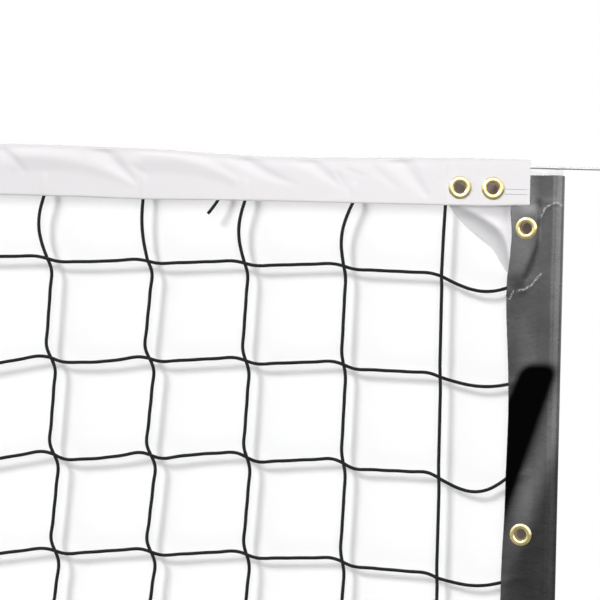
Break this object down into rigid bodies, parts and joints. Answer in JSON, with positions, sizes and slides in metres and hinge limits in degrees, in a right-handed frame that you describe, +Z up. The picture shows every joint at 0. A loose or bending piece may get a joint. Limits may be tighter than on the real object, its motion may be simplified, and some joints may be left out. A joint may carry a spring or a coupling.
{
  "type": "volleyball net on posts",
  "caption": "Volleyball net with white headband and black side bands, hung on a steel cable between two free-standing telescopic posts with a cranked winch.",
  "frame": {"origin": "on the floor under the middle of the net, halfway between the posts", "axes": "+X along the net towards the winch post, +Y through the net away from the crank's side, +Z up"},
  "size_m": [11.16, 0.6, 2.43],
  "materials": {
    "base": "dark grey powder coat",
    "rubber": "matt black",
    "zinc": "zinc plated",
    "tube": "satin silver",
    "cast": "painted casting",
    "nylon": "natural nylon",
    "steel": "brushed",
    "cable": "stranded wire",
    "bronze": "oiled bronze",
    "vinyl_white": "soft vinyl-coated fabric",
    "vinyl_black": "glossy vinyl-coated fabric",
    "cord": "braided cord",
    "brass": "polished",
    "wood": "bare dowel",
    "tread": "grey-black rubber"
  },
  "bodies": {
    "root": {"base_right": "base", "base_left": "base", "feet_right": "rubber", "feet_left": "rubber", "socket_bolt_right": "zinc", "socket_bolt_left": "zinc", "outer_tube_right": "tube", "outer_tube_left": "tube", "collar_right": "cast", "collar_left": "cast", "bush_right": "nylon", "bush_left": "nylon", "wheel_axles_right": "zinc", "wheel_axles_left": "zinc"},
    "carriage": {"gear_housing": "base", "inner_tube_right": "zinc", "inner_tube_left": "zinc", "pulley_axle": "zinc", "anchor_pin": "zinc", "thimble": "zinc", "winch_u_bolts": "zinc", "rope_ring_right": "zinc", "rope_ring_left": "zinc", "winch_frame": "cast", "housing_cover": "cast", "rope_clamp_right": "cast", "rope_clamp_left": "cast", "guide_plug_right": "nylon", "guide_plug_left": "nylon", "pulley_head": "steel", "anchor_head": "steel", "top_cable": "cable", "cable_eye": "cable", "cable_winding": "cable", "headband": "vinyl_white", "corner_web_right": "vinyl_white", "corner_web_left": "vinyl_white", "bottom_band": "vinyl_black", "side_band_right": "vinyl_black", "side_band_left": "vinyl_black", "netting": "cord", "bottom_rope": "cord", "cord_tail": "cord", "grommets_right": "brass", "grommets_left": "brass", "dowel_right": "wood", "dowel_left": "wood"},
    "clamp_right": {"clamp_screw_right": "zinc"},
    "clamp_left": {"clamp_screw_left": "zinc"},
    "pulley": {"pulley": "steel", "pulley_bush": "bronze"},
    "drum": {"drum": "zinc", "drum_axle": "steel"},
    "crank": {"crank_shaft": "steel", "crank_arm": "zinc"},
    "grip": {"crank_grip": "rubber"},
    "wheel_right_front": {"wheel_right_front": "tread"},
    "wheel_right_rear": {"wheel_right_rear": "tread"},
    "wheel_left_front": {"wheel_left_front": "tread"},
    "wheel_left_rear": {"wheel_left_rear": "tread"}
  },
  "joints": [
    {"name": "net_height", "type": "slide", "parent": "root", "child": "carriage", "axis": [0, 0, 1], "range_m": [-0.19, 0]},
    {"name": "clamp_turn_right", "type": "hinge", "parent": "root", "child": "clamp_right", "pos_m": [5.2, 0, 1.242], "axis": [1, 0, 0], "range_deg": [0, 360]},
    {"name": "clamp_turn_left", "type": "hinge", "parent": "root", "child": "clamp_left", "pos_m": [-5.2, 0, 1.242], "axis": [-1, 0, 0], "range_deg": [0, 360]},
    {"name": "pulley_spin", "type": "hinge", "parent": "carriage", "child": "pulley", "pos_m": [5.2, 0, 2.3639], "axis": [0, 1, 0], "continuous": true},
    {"name": "crank_turn", "type": "hinge", "parent": "carriage", "child": "crank", "pos_m": [5.2761, -0.0423, 1.832], "axis": [1, 0, 0], "continuous": true},
    {"name": "drum_turn", "type": "hinge", "parent": "carriage", "child": "drum", "pos_m": [5.2761, 0, 1.8], "axis": [0, 1, 0], "continuous": true},
    {"name": "grip_spin", "type": "hinge", "parent": "crank", "child": "grip", "pos_m": [5.3361, -0.0423, 1.652], "axis": [1, 0, 0], "continuous": true},
    {"name": "wheel_spin_right_front", "type": "hinge", "parent": "root", "child": "wheel_right_front", "pos_m": [5.54, -0.2, 0.052], "axis": [0, 1, 0], "continuous": true},
    {"name": "wheel_spin_right_rear", "type": "hinge", "parent": "root", "child": "wheel_right_rear", "pos_m": [5.54, 0.2, 0.052], "axis": [0, 1, 0], "continuous": true},
    {"name": "wheel_spin_left_front", "type": "hinge", "parent": "root", "child": "wheel_left_front", "pos_m": [-5.54, -0.2, 0.052], "axis": [0, 1, 0], "continuous": true},
    {"name": "wheel_spin_left_rear", "type": "hinge", "parent": "root", "child": "wheel_left_rear", "pos_m": [-5.54, 0.2, 0.052], "axis": [0, 1, 0], "continuous": true}
  ],
  "couplings": [
    {"joint": "drum_turn", "follows": "crank_turn", "ratio": 0.05}
  ]
}
